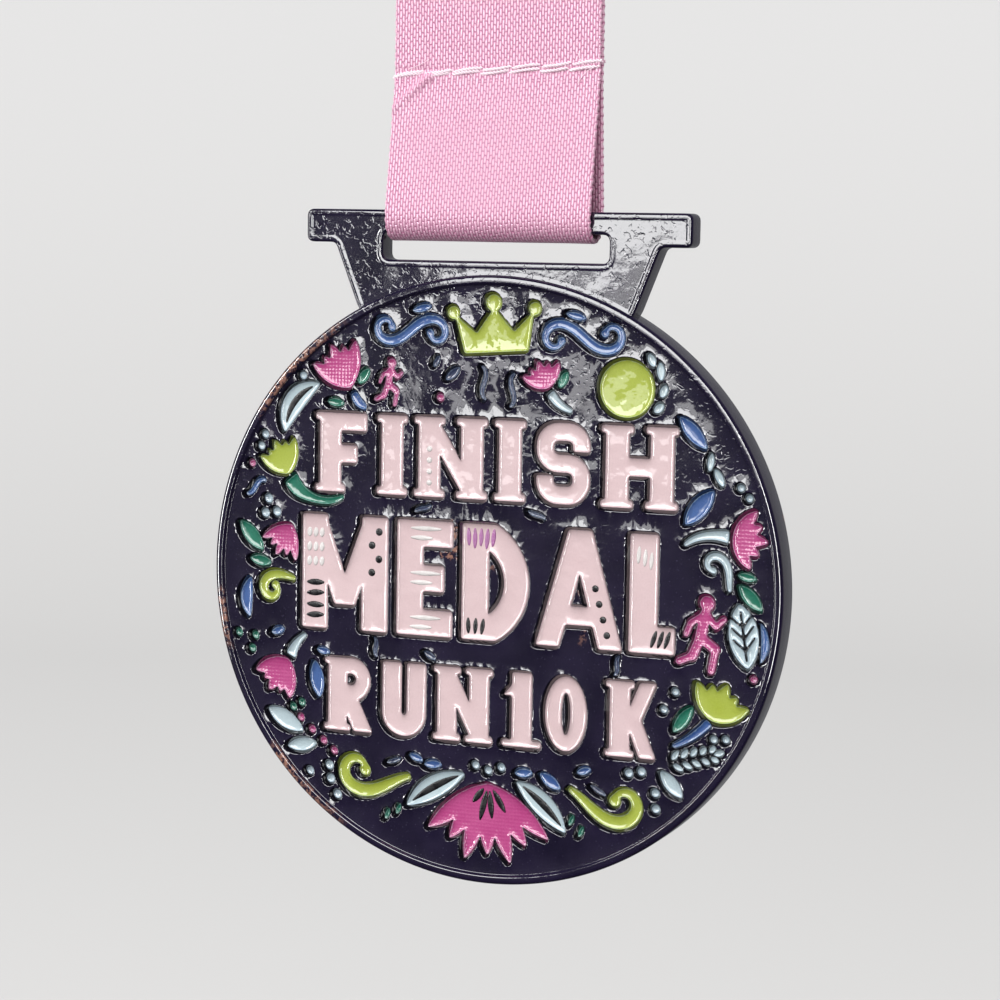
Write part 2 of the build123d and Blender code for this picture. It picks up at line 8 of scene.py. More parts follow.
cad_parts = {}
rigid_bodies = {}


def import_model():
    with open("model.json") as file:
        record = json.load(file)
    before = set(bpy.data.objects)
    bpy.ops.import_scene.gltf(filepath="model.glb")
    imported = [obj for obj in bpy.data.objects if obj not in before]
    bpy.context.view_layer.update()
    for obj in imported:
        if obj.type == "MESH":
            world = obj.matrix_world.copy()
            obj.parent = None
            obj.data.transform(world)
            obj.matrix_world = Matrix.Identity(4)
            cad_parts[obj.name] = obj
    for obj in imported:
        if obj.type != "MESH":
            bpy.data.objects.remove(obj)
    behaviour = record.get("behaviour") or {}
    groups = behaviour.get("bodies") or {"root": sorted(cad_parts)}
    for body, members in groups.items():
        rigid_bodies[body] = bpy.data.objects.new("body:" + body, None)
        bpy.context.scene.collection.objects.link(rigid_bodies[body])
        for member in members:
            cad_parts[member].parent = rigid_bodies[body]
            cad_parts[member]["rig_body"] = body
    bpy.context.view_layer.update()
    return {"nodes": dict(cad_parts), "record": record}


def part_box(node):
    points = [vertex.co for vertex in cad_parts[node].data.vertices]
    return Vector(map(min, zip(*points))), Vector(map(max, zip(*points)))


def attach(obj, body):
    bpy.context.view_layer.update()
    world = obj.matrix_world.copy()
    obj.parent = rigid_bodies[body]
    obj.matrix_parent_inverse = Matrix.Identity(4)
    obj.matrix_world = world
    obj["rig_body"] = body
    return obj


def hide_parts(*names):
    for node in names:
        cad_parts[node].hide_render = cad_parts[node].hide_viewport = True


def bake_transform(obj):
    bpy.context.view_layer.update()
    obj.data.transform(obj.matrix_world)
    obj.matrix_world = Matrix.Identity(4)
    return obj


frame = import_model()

# The looks of a finisher medal on its sewn ribbon. Drawings and depths are in millimetres from the
# middle of the disc: x to the right, z up, and y from the front of the medal to its back. The row frame
# is in metres, with its origin in the ribbon's top loop.

MM = 0.001
casting_low, casting_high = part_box("casting")
disc_radius = (casting_high.x - casting_low.x) / 2 / MM
disc_middle = casting_low.z / MM + disc_radius
rim_front = casting_low.y / MM
disc_back = casting_high.y / MM
slot_of = {part["node"]: part["material_slot"] for part in frame["record"]["subparts"]}

# The medal's face
rim_height = 0.4
rim_round = 0.42
field_front = rim_front + rim_height
field_radius = disc_radius - 1.15
rim_segments = 720
header_front = -1.5
header_round = 0.32

# Heights of the row frame between which the lacquer gets pitted
pitted_from = casting_low.z + 0.040
pitted_to = casting_low.z + 0.066

# Places across the row frame between which the rim, towards its left, turns brown in patches
brown_from = -0.012
brown_fully = -0.024

# The values of the casting's mark, which is 0 on the walls of the pockets, where it turns the lacquer near
# black as painted shade
face_mark = 1.0
rim_mark = 1.5

# The satin's floats
float_width = 0.34
float_length = 0.92

# The colours in their pockets; the wall run is the width of lacquer that slopes down to a colour
outline_step = 0.19
wall_run = 0.42
wall_power = 1.35
lip_height = 0.055
lip_width = 0.1
fill_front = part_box("crown")[0].y / MM
fill_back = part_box("crown")[1].y / MM
meniscus_rise = 0.13
meniscus_run = 0.17
paint_dome = 0.09
paint_spread = 0.08

# Rings of points beside the outlines, by their distance from them, and the pitch of the points beyond
field_rings, field_pitch = (0.08, 0.2, 0.31, 0.37, 0.42, 0.48, 0.58), 1.1
fill_rings, fill_pitch = (0.07, 0.16, 0.3, 0.5), 0.5
paint_rings, paint_pitch = (0.05, 0.11, 0.2), 0.3
header_rings, header_pitch = (0.02, 0.06, 0.12, 0.2, 0.32, 0.45, 0.6, 0.66, 0.71, 0.78, 0.9), 1.2


# Outlines taken from the frame

def drawn(points):
    """Row-frame points in metres as millimetres from the middle of the disc."""
    return points / MM - np.array((0, 0, disc_middle))


def placed(points):
    """Points in millimetres from the middle of the disc in the row frame, in metres."""
    return (points + np.array((0, 0, disc_middle))) * MM


def triangles_of(node):
    """A node's welded points, in millimetres, and its triangles."""
    mesh = frame["nodes"][node].data
    mesh.calc_loop_triangles()
    points = np.empty(len(mesh.vertices) * 3)
    mesh.vertices.foreach_get("co", points)
    corners = np.empty(len(mesh.loop_triangles) * 3, dtype=np.int64)
    mesh.loop_triangles.foreach_get("vertices", corners)
    welded, index = np.unique(np.round(drawn(points.reshape(-1, 3)), 3), axis=0, return_inverse=True)
    return welded, index.reshape(-1)[corners].reshape(-1, 3)


def front_outlines(node):
    """The closed outlines of a node's front face, with its material on their left, as (x, z) points."""
    points, triangles = triangles_of(node)
    front = points[:, 1].min()
    edges = set()
    for triangle in triangles[(points[triangles][:, :, 1] < front + 0.002).all(axis=1)].tolist():
        for a, b in zip(triangle, triangle[1:] + triangle[:1]):
            if a != b:
                edges.add((a, b))
    following = {a: b for a, b in sorted(edges) if (b, a) not in edges}
    outlines = []
    while following:
        start, at = following.popitem()
        chain = [start]
        while at in following:
            chain.append(at)
            at = following.pop(at)
        outlines.append(points[chain][:, [0, 2]])
    return outlines


def section_outlines(node, depth):
    """The closed outlines where a level of depth cuts a node, as (x, z) points."""
    points, triangles = triangles_of(node)
    behind = points[:, 1] > depth
    neighbours = {}
    for triangle in triangles[behind[triangles].any(axis=1) & ~behind[triangles].all(axis=1)].tolist():
        cut = [
            (min(a, b), max(a, b))
            for a, b in zip(triangle, triangle[1:] + triangle[:1]) if behind[a] != behind[b]
        ]
        neighbours.setdefault(cut[0], []).append(cut[1])
        neighbours.setdefault(cut[1], []).append(cut[0])
    outlines = []
    while neighbours:
        edge = next(iter(neighbours))
        chain = []
        while edge in neighbours:
            chain.append(edge)
            onward = [other for other in neighbours.pop(edge) if other in neighbours]
            edge = onward[0] if onward else None
        a, b = points[[pair[0] for pair in chain]], points[[pair[1] for pair in chain]]
        share = ((depth - a[:, 1]) / (b[:, 1] - a[:, 1]))[:, None]
        outlines.append((a + share * (b - a))[:, [0, 2]])
    return outlines


def turned_left(outline):
    """True if an outline runs anticlockwise."""
    onward = np.roll(outline, -1, axis=0)
    return (outline[:, 0] * onward[:, 1] - outline[:, 1] * onward[:, 0]).sum() > 0


def evened(outline, step=outline_step, least=22, passes=2):
    """An outline with evenly spread points and its corners a little rounded."""
    closed = np.vstack([outline, outline[:1]])
    along = np.concatenate([[0], np.cumsum(np.linalg.norm(np.diff(closed, axis=0), axis=1))])
    count = max(int(round(along[-1] / step)), least)
    at = np.linspace(0, along[-1], count, endpoint=False)
    ring = np.stack([np.interp(at, along, closed[:, i]) for i in (0, 1)], axis=1)
    for _ in range(passes):
        ring = (np.roll(ring, 1, axis=0) + 2 * ring + np.roll(ring, -1, axis=0)) / 4
    return ring


def beside(outline, distance):
    """An outline moved to its right by a distance, or to its left by a negative one."""
    run = np.roll(outline, -1, axis=0) - np.roll(outline, 1, axis=0)
    side = np.stack([run[:, 1], -run[:, 0]], axis=1)
    return outline + distance * side / np.maximum(np.linalg.norm(side, axis=1), 1e-9)[:, None]


class Nearest:
    """The distance from any place to the nearest of some closed outlines."""

    def __init__(self, outlines):
        self.points = np.vstack(outlines)
        starts = np.cumsum([0] + [len(outline) for outline in outlines])
        order = np.arange(len(self.points))
        self.before, self.after = order - 1, order + 1
        self.before[starts[:-1]] = starts[1:] - 1
        self.after[starts[1:] - 1] = starts[:-1]
        self.tree = kdtree.KDTree(len(self.points))
        for i, (x, z) in enumerate(self.points.tolist()):
            self.tree.insert((x, z, 0), i)
        self.tree.balance()

    def distance(self, places):
        near = np.array([self.tree.find((x, z, 0))[1] for x, z in places.tolist()])
        best = np.full(len(places), 1e9)
        for other in (self.before, self.after):
            a, b = self.points[near], self.points[other[near]]
            run = b - a
            share = ((places - a) * run).sum(axis=1) / np.maximum((run ** 2).sum(axis=1), 1e-12)
            foot = a + share.clip(0, 1)[:, None] * run
            best = np.minimum(best, np.linalg.norm(places - foot, axis=1))
        return best


# Meshes made from outlines

class Face:
    """A flat net of triangles on some closed outlines, finer near them."""

    def __init__(self, outlines, side, offsets, pitch):
        """side is 1 for rings of points outside the outlines and -1 for rings inside them."""
        self.near = Nearest(outlines)
        rings = []
        still_clear, pitch_clear = 0.93, 0.4
        for offset in offsets:
            ring = np.vstack([beside(outline, side * offset) for outline in outlines])
            rings.append(ring[self.near.distance(ring) > offset * still_clear])
        low, high = self.near.points.min(axis=0), self.near.points.max(axis=0)
        across, up = np.meshgrid(
            np.arange(low[0] + pitch / 2, high[0], pitch), np.arange(low[1] + pitch / 2, high[1], pitch)
        )
        across[1::2] += pitch / 2
        spread = np.stack([across.ravel(), up.ravel()], axis=1)
        clear = max(offsets) + pitch * pitch_clear
        rings.append(spread[self.near.distance(spread) > clear])
        extra = np.vstack(rings)
        places = np.vstack([self.near.points, extra])
        rounds, first = [], 0
        for outline in outlines:
            loop = list(range(first, first + len(outline)))
            rounds.append(loop if turned_left(outline) else loop[::-1])
            first += len(outline)
        coords, _, faces, origins, _, inside = geometry.delaunay_2d_cdt(
            [Vector(place) for place in places.tolist()], [], rounds, 1, 1e-6, True
        )
        self.places = np.array([(v.x, v.y) for v in coords])
        self.faces = np.array(faces)
        self.layers = np.array([len(loops) for loops in inside])
        where = {old: new for new, olds in enumerate(origins) for old in olds}
        first = 0
        self.outlines = []
        for outline in outlines:
            self.outlines.append([where[i] for i in range(first, first + len(outline))])
            first += len(outline)


def made(name, points, faces, material, sharp=50, marks=None):
    """A smooth-shaded object from points in millimetres."""
    mesh = bpy.data.meshes.new(name)
    mesh.from_pydata(placed(np.asarray(points, dtype=float)).tolist(), [], faces)
    if marks is not None:
        layer = mesh.attributes.new("mark", "FLOAT", "POINT")
        layer.data.foreach_set("value", np.asarray(marks, dtype=np.float32))
    mesh.validate()
    mesh.shade_smooth()
    mesh.set_sharp_from_angle(angle=math.radians(sharp))
    mesh.materials.append(material)
    piece = bpy.data.objects.new(name, mesh)
    bpy.context.scene.collection.objects.link(piece)
    return piece


def standing_for(piece, *nodes):
    """A piece that takes the place and the body of CAD nodes, which it hides."""
    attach(piece, frame["nodes"][nodes[0]]["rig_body"])
    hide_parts(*nodes)


def raised(places, depth):
    """Flat places at a depth, as points."""
    return np.column_stack([places[:, 0], np.broadcast_to(depth, len(places)), places[:, 1]])


def wall(first, second):
    """The faces between two rows of points that run round together."""
    return [
        (a, c, d, b)
        for a, b, c, d in zip(first, np.roll(first, -1).tolist(), second, np.roll(second, -1).tolist())
    ]


def slab(name, outlines, offsets, pitch, front, back, material, sharp=50):
    """A closed piece on some outlines; front and back give a place's depth from its distance to them."""
    face = Face(outlines, -1, offsets, pitch)
    solid = face.faces[face.layers % 2 == 1]
    away = face.near.distance(face.places)
    count = len(face.places)
    points = np.vstack([raised(face.places, front(face.places, away)), raised(face.places, back(away))])
    faces = solid.tolist() + (solid[:, ::-1] + count).tolist()
    for outline in face.outlines:
        faces += wall(outline, [i + count for i in outline])
    used = np.unique(np.concatenate([np.ravel(f) for f in faces]))
    index = np.full(2 * count, -1)
    index[used] = np.arange(len(used))
    faces = [[int(index[i]) for i in f] for f in faces]
    return made(name, points[used], faces, material, sharp, np.concatenate([away, away])[used])


def wavy(places, pitch, seed):
    """Soft unevenness from -1 to 1 with a pitch in millimetres."""
    return np.array([noise.noise(Vector((x / pitch, z / pitch, seed))) for x, z in places.tolist()])


# Materials

def tree_of(name):
    """A new material's node tree and its shader."""
    material = bpy.data.materials.new(name)
    material.use_nodes = True
    return material, material.node_tree, material.node_tree.nodes["Principled BSDF"]


def added(tree, kind, **inputs):
    """A new node with values or links on the inputs named."""
    node = tree.nodes.new(kind)
    for key, value in inputs.items():
        give(tree, node, key.replace("_", " "), value)
    return node


def give(tree, node, key, value):
    """Sets an input of a node, by its name or number, or links it if the value is another node's output."""
    if isinstance(value, bpy.types.NodeSocket):
        tree.links.new(value, node.inputs[key])
    else:
        node.inputs[key].default_value = value


def noise_at(tree, where, pitch, detail=2.0, rough=0.5, distortion=0.0):
    """A noise with a pitch in millimetres."""
    node = added(tree, "ShaderNodeTexNoise", Vector=where, Scale=1 / (pitch * MM), Detail=detail)
    give(tree, node, "Roughness", rough)
    give(tree, node, "Distortion", distortion)
    return node.outputs["Fac"]


def ramp(tree, value, *stops):
    """A colour ramp; each stop is a place and a grey or a colour."""
    node = added(tree, "ShaderNodeValToRGB", Fac=value)
    while len(node.color_ramp.elements) < len(stops):
        node.color_ramp.elements.new(0.5)
    for element, (place, colour) in zip(node.color_ramp.elements, stops):
        element.position = place
        element.color = (*colour, 1) if hasattr(colour, "__len__") else (colour, colour, colour, 1)
    return node.outputs["Color"]


def mixed(tree, share, first, second):
    """Two colours mixed."""
    node = tree.nodes.new("ShaderNodeMix")
    node.data_type = "RGBA"
    give(tree, node, "Factor", share)
    first_colour, second_colour, result = 6, 7, 2
    for key, value in ((first_colour, first), (second_colour, second)):
        linked = isinstance(value, bpy.types.NodeSocket)
        give(tree, node, key, value if linked else (*value, 1))
    return node.outputs[result]


def computed(tree, operation, *values):
    """The result of an operation on numbers."""
    node = tree.nodes.new("ShaderNodeMath")
    node.operation = operation
    for i, value in enumerate(values):
        give(tree, node, i, value)
    return node.outputs[0]


def between(tree, value, low, high):
    """A number carried over a range; low and high each pair a value with its result."""
    node = added(tree, "ShaderNodeMapRange", Value=value, From_Min=low[0], From_Max=high[0])
    give(tree, node, "To Min", low[1])
    give(tree, node, "To Max", high[1])
    return node.outputs["Result"]


def bumped(tree, height, distance, strength=1.0, under=None):
    """A surface direction roughened by a height, whose full range is a distance in millimetres."""
    node = added(tree, "ShaderNodeBump", Height=height, Distance=distance * MM, Strength=strength)
    if under is not None:
        give(tree, node, "Normal", under)
    return node.outputs["Normal"]


def lacquer_material():
    """Black-violet lacquer with orange peel and dust, pitted higher up, brown patches on the face and along
    the rim's left side, and painted shade, near black, on the walls of the pockets.
    """
    material, tree, shader = tree_of("lacquer")
    where = tree.nodes.new("ShaderNodeTexCoord").outputs["Object"]
    mark = tree.nodes.new("ShaderNodeAttribute")
    mark.attribute_name = "mark"
    axes = added(tree, "ShaderNodeSeparateXYZ", Vector=where)
    upper = between(tree, axes.outputs["Z"], (pitted_from, 0.08), (pitted_to, 1.0))
    left_side = between(tree, axes.outputs["X"], (brown_fully, 1.0), (brown_from, 0.0))
    patches = noise_at(tree, where, 6.0, 3.0)
    navy, violet = (0.0062, 0.0038, 0.0170), (0.0105, 0.0062, 0.0270)
    base = mixed(tree, ramp(tree, patches, (0.35, 0.0), (0.7, 1.0)), navy, violet)
    dust = ramp(tree, noise_at(tree, where, 0.17, 1.0), (0.72, 0.0), (0.79, 1.0))
    base = mixed(tree, dust, base, (0.05, 0.043, 0.08))
    spots = computed(
        tree, "MULTIPLY",
        ramp(tree, noise_at(tree, where, 9.0, 1.0), (0.725, 0.0), (0.75, 1.0)),
        ramp(tree, noise_at(tree, where, 0.8, 4.0, 0.7), (0.50, 0.0), (0.56, 1.0)),
    )
    rim_only = 1 / (rim_mark - face_mark)
    rim = computed(tree, "MULTIPLY_ADD", mark.outputs["Fac"], rim_only, -rim_only)
    rim = computed(tree, "MULTIPLY", rim, left_side)
    rim_brown = computed(
        tree, "MULTIPLY",
        ramp(tree, noise_at(tree, where, 16.0, 1.0), (0.52, 0.0), (0.60, 1.0)),
        ramp(tree, noise_at(tree, where, 0.7, 4.0, 0.7), (0.46, 0.0), (0.56, 1.0)),
    )
    # Brown patches, here and there on the face and, towards the left, along the rim.
    brown_share = computed(tree, "MAXIMUM", spots, computed(tree, "MULTIPLY", rim, rim_brown))
    base = mixed(tree, brown_share, base, (0.30, 0.15, 0.11))
    # Painted shade: the colour goes near black where the mark falls to 0, on the walls of the pockets.
    give(tree, shader, "Base Color", mixed(tree, mark.outputs["Fac"], (0.002, 0.0016, 0.004), base))
    give(tree, shader, "Roughness", ramp(tree, patches, (0.3, 0.32), (0.7, 0.45)))
    shader.inputs["Specular IOR Level"].default_value = 0.12
    shader.inputs["Coat Weight"].default_value = 1.0
    shader.inputs["Coat IOR"].default_value = 2.1
    shader.inputs["Coat Roughness"].default_value = 0.065
    normal = bumped(tree, noise_at(tree, where, 5.0, 1.0), 0.07)
    normal = bumped(tree, noise_at(tree, where, 1.5, 2.0, 0.5), 0.012, 1.0, normal)
    islands = noise_at(tree, where, 1.0, 2.5, 0.55, 0.6)
    pits = ramp(tree, islands, (0.33, 0.0), (0.39, 1.0), (0.60, 1.0), (0.66, 0.3))
    normal = bumped(tree, pits, 0.013, upper, normal)
    grit = noise_at(tree, where, 0.22, 1.0)
    normal = bumped(tree, grit, 0.0011, upper, normal)
    give(tree, shader, "Normal", normal)
    give(tree, shader, "Coat Normal", normal)
    return material


def enamel_material(name, colour, pale, brim, grain=0.25, texture=0.0):
    """Gloss enamel, clouded by a paler colour; brim is its colour in a speckled band next to the pocket's
    wall.

    grain is the strength of its fine print grain, and texture the depth in millimetres of its printed dots.
    """
    material, tree, shader = tree_of(name)
    where = tree.nodes.new("ShaderNodeTexCoord").outputs["Object"]
    mark = tree.nodes.new("ShaderNodeAttribute")
    mark.attribute_name = "mark"
    speckle = noise_at(tree, where, 0.24, 2.0, 0.6)
    edge = computed(tree, "MULTIPLY_ADD", speckle, 0.42, mark.outputs["Fac"])
    soft = noise_at(tree, where, 3.2, 3.0)
    fine = noise_at(tree, where, 0.2, 1.0)
    body = mixed(tree, ramp(tree, soft, (0.3, 0.0), (0.75, grain)), colour, pale)
    body = mixed(tree, ramp(tree, fine, (0.35, 0.0), (0.7, grain)), body, tuple(0.78 * c for c in colour))
    give(tree, shader, "Base Color", mixed(tree, ramp(tree, edge, (0.19, 0.9), (0.33, 0.0)), body, brim))
    shader.inputs["Roughness"].default_value = 0.35
    shader.inputs["Specular IOR Level"].default_value = 0.3
    shader.inputs["Coat Weight"].default_value = 1.0
    shader.inputs["Coat IOR"].default_value = 1.8
    shader.inputs["Coat Roughness"].default_value = 0.03
    normal = bumped(tree, noise_at(tree, where, 2.4, 2.0), 0.09)
    normal = bumped(tree, noise_at(tree, where, 0.55, 1.0), 0.006, 1.0, normal)
    if texture:
        dots = added(tree, "ShaderNodeTexVoronoi", Vector=where, Scale=1 / (0.42 * MM), Randomness=0.15)
        normal = bumped(tree, dots.outputs["Distance"], texture, 1.0, normal)
    give(tree, shader, "Coat Normal", normal)
    give(tree, shader, "Normal", normal)
    return material


def paint_material(name, colour):
    """Paint laid on the enamel."""
    material, tree, shader = tree_of(name)
    where = tree.nodes.new("ShaderNodeTexCoord").outputs["Object"]
    uneven = noise_at(tree, where, 0.7, 2.0)
    shade = mixed(tree, uneven, colour, tuple(0.6 * c + 0.006 for c in colour))
    give(tree, shader, "Base Color", shade)
    give(tree, shader, "Roughness", ramp(tree, uneven, (0.3, 0.18), (0.7, 0.4)))
    shader.inputs["Coat Weight"].default_value = 0.35
    shader.inputs["Coat Roughness"].default_value = 0.05
    give(tree, shader, "Normal", bumped(tree, noise_at(tree, where, 0.45, 2.0), 0.04))
    return material


def satin_material():
    """Pink satin: rows of long rounded floats, each row shifted along, with painted shade, a deeper pink,
    between them and a painted highlight, pale pink, on their tops.
    """
    material, tree, shader = tree_of("ribbon_satin")
    cloth = tree.nodes.new("ShaderNodeUVMap")
    cloth.uv_map = "cloth"
    uv = cloth.outputs["UV"]
    sway_across, sway_along, row_shift = 0.45, 0.7, 0.47
    sway = added(tree, "ShaderNodeTexNoise", Vector=uv, Scale=1 / (0.8 * MM), Detail=2.0)
    shift = added(tree, "ShaderNodeSeparateXYZ", Vector=sway.outputs["Color"])
    apart = added(tree, "ShaderNodeSeparateXYZ", Vector=uv)
    across = computed(tree, "MULTIPLY", apart.outputs["Y"], 1 / (float_width * MM))
    across = computed(tree, "MULTIPLY_ADD", shift.outputs["Y"], sway_across, across)
    row = computed(tree, "FLOOR", across)
    along = computed(tree, "MULTIPLY", apart.outputs["X"], 1 / (float_length * MM))
    along = computed(tree, "MULTIPLY_ADD", shift.outputs["X"], sway_along, along)
    along = computed(tree, "MULTIPLY_ADD", row, row_shift, along)
    rounds = []
    for place, power in ((across, 2.0), (along, 4.0)):
        part = computed(tree, "MULTIPLY_ADD", computed(tree, "FRACT", place), 2.0, -1.0)
        fall = computed(tree, "POWER", computed(tree, "ABSOLUTE", part), power)
        rounds.append(computed(tree, "SUBTRACT", 1.0, fall))
    height = computed(tree, "MULTIPLY", *rounds)
    uneven = noise_at(tree, uv, 5.0, 3.0)
    base = mixed(tree, uneven, (0.78, 0.35, 0.52), (0.84, 0.42, 0.59))
    # Painted shade: a deeper pink in the gaps between the floats.
    gap = ramp(tree, height, (0.02, 0.0), (0.5, 1.0))
    shade = mixed(tree, gap, (0.48, 0.12, 0.27), base)
    fibre = noise_at(tree, uv, 0.09, 1.0)
    # Painted highlight: pale pink on the tops of the floats, broken up by the fibres.
    top = computed(tree, "MULTIPLY", ramp(tree, height, (0.55, 0.0), (1.0, 0.7)), fibre)
    give(tree, shader, "Base Color", mixed(tree, top, shade, (0.97, 0.80, 0.88)))
    shader.inputs["Roughness"].default_value = 0.28
    shader.inputs["IOR"].default_value = 1.7
    shader.inputs["Specular IOR Level"].default_value = 1.0
    shader.inputs["Sheen Weight"].default_value = 0.2
    shader.inputs["Sheen Roughness"].default_value = 0.35
    shader.inputs["Sheen Tint"].default_value = (1.0, 0.62, 0.82, 1)
    raised_by = computed(tree, "MULTIPLY_ADD", fibre, 0.25, height)
    give(tree, shader, "Normal", bumped(tree, raised_by, 0.09))
    return material


def thread_material():
    """Pale polyester thread."""
    material, tree, shader = tree_of("seam_thread")
    where = tree.nodes.new("ShaderNodeTexCoord").outputs["Object"]
    fibre = noise_at(tree, where, 0.12, 2.0)
    give(tree, shader, "Base Color", mixed(tree, fibre, (0.84, 0.58, 0.68), (0.95, 0.86, 0.90)))
    shader.inputs["Roughness"].default_value = 0.45
    shader.inputs["Sheen Weight"].default_value = 0.4
    give(tree, shader, "Normal", bumped(tree, fibre, 0.03))
    return material


# Each enamel's colour, its paler clouds, its brim, its grain and, for some, the depth of its printed dots
enamel_looks = {
    "enamel_rose": ((0.66, 0.49, 0.50), (0.76, 0.62, 0.62), (0.42, 0.30, 0.34), 0.2),
    "enamel_magenta": ((0.44, 0.045, 0.20), (0.62, 0.15, 0.34), (0.62, 0.40, 0.54), 0.35, 0.03),
    "enamel_lime": ((0.36, 0.43, 0.045), (0.46, 0.53, 0.13), (0.40, 0.50, 0.30), 0.35),
    "enamel_blue": ((0.04, 0.10, 0.30), (0.10, 0.20, 0.44), (0.32, 0.45, 0.62), 0.45),
    "enamel_sky": ((0.46, 0.57, 0.61), (0.58, 0.68, 0.71), (0.46, 0.57, 0.68), 0.35),
    "enamel_green": ((0.01, 0.15, 0.09), (0.03, 0.28, 0.19), (0.24, 0.46, 0.40), 0.45),
    "enamel_pearl": ((0.42, 0.53, 0.59), (0.66, 0.74, 0.77), (0.34, 0.44, 0.56), 0.5),
    "enamel_violet": ((0.02, 0.03, 0.08), (0.08, 0.10, 0.20), (0.20, 0.26, 0.38), 0.6),
}
paint_looks = {
    "paint_black": (0.005, 0.005, 0.007),
    "paint_violet": (0.44, 0.16, 0.38),
    "paint_white": (0.80, 0.76, 0.74),
}
colours = {slot: enamel_material(slot, *looks) for slot, looks in enamel_looks.items()}
colours.update({slot: paint_material(slot, colour) for slot, colour in paint_looks.items()})
lacquer = lacquer_material()
satin = satin_material()
thread = thread_material()


# The colours

fill_outlines = {
    node: [evened(outline) for outline in front_outlines(node)]
    for node, slot in sorted(slot_of.items()) if slot.startswith("enamel_")
}
every_fill = [outline for node in fill_outlines for outline in fill_outlines[node]]
near_fills = Nearest(every_fill)


def enamel_depth(places, away):
    """The depth of the enamel's surface, which climbs the wall of its pocket."""
    climb = meniscus_rise * np.exp(-away / meniscus_run)
    dip = 0.05 * (1 - np.exp(-away / 0.8))
    swell = 0.018 * wavy(places, 1.7, 3.0)
    return fill_front - climb + dip - swell


def make_fills():
    """Each colour as a closed piece that fills its pocket."""
    for node, outlines in fill_outlines.items():
        fill = slab(
            f"{node}_enamel", outlines, fill_rings, fill_pitch,
            enamel_depth, lambda away: np.full(len(away), fill_back), colours[slot_of[node]],
        )
        standing_for(fill, node)


def make_accents():
    """Paint strokes and dots that follow the enamel under them."""
    def over(places, away):
        dome = paint_dome * np.minimum(away / 0.16, 1) ** 0.5
        return enamel_depth(places, near_fills.distance(places)) - 0.004 - dome

    for node, slot in sorted(slot_of.items()):
        if slot.startswith("paint_"):
            outlines = [beside(evened(outline, 0.1), paint_spread) for outline in front_outlines(node)]
            stroke = slab(
                f"{node}_paint", outlines, paint_rings, paint_pitch,
                over, lambda away: np.full(len(away), fill_front + 0.1), colours[slot],
            )
            standing_for(stroke, node)


# The casting

def field_depth(places, away):
    """The depth of the face beside a pocket: a steep wall that rounds over an uneven lip to the field."""
    share = (away / wall_run).clip(0, 1)
    foot = fill_front - meniscus_rise
    uneven = 0.4 + 0.9 * wavy(places, 0.42, 7.0)
    lip = lip_height * uneven * np.exp(-((away - wall_run) / lip_width) ** 2)
    return foot + (field_front - foot) * (1 - (1 - share) ** wall_power) - lip


def circle(radius, count=rim_segments):
    """A round outline."""
    turn = np.linspace(0, 2 * math.pi, count, endpoint=False)
    return np.stack([radius * np.cos(turn), radius * np.sin(turn)], axis=1)


def rim_profile():
    """The radius and depth of the disc's rings, from the field over the rim and the side to the back."""
    profile = [(0.05, 0.01), (0.11, 0.06), (0.21, 0.34), (0.27, 0.39), (0.36, 0.4), (0.6, 0.4)]
    rings = [(field_radius + run, field_front - rise) for run, rise in profile]
    corner = []
    for angle in (0, 12, 30, 50, 70, 90):
        turn = math.radians(angle)
        corner.append((disc_radius - rim_round * (1 - math.sin(turn)), rim_round * (1 - math.cos(turn))))
    rings += [(radius, rim_front + depth) for radius, depth in corner[1:]]
    rings.append((disc_radius, 0))
    rings += [(radius, disc_back - depth) for radius, depth in corner[::-1]]
    rings += [(disc_radius - 1.4, disc_back), (disc_radius * 0.5, disc_back)]
    return rings


def make_disc():
    """The face with its pockets, the rim, the side and the back, as points, faces and marks."""
    face = Face([circle(field_radius)] + every_fill, 1, field_rings, field_pitch)
    count = len(face.places)
    away = near_fills.distance(face.places)
    in_field = face.faces[face.layers % 2 == 1]
    in_pocket = face.faces[(face.layers > 0) & (face.layers % 2 == 0)]
    points = [raised(face.places, field_depth(face.places, away)), raised(face.places, fill_back)]
    faces = in_field.tolist() + (in_pocket + count).tolist()
    for outline in face.outlines[1:]:
        faces += wall(outline, [i + count for i in outline])
    before = face.outlines[0]
    total = 2 * count
    for radius, depth in rim_profile():
        ring = list(range(total, total + rim_segments))
        points.append(raised(circle(radius), depth))
        faces += wall(before, ring)
        before = ring
        total += rim_segments
    points.append(np.array([(0, disc_back, 0)]))
    faces += [(a, total, b) for a, b in zip(before, np.roll(before, -1).tolist())]
    points = np.vstack(points)
    marks = np.full(len(points), face_mark)
    # The mark falls to 0 on the walls of the pockets, which gives them painted shade in the lacquer.
    marks[:count] = ((away - wall_run * 0.8) / (wall_run * 0.25)).clip(0, face_mark)
    reach = np.hypot(points[:, 0], points[:, 2])
    marks[(reach > field_radius + 0.2) & (reach < disc_radius - 0.1) & (points[:, 1] < 0)] = rim_mark
    return points, faces, marks


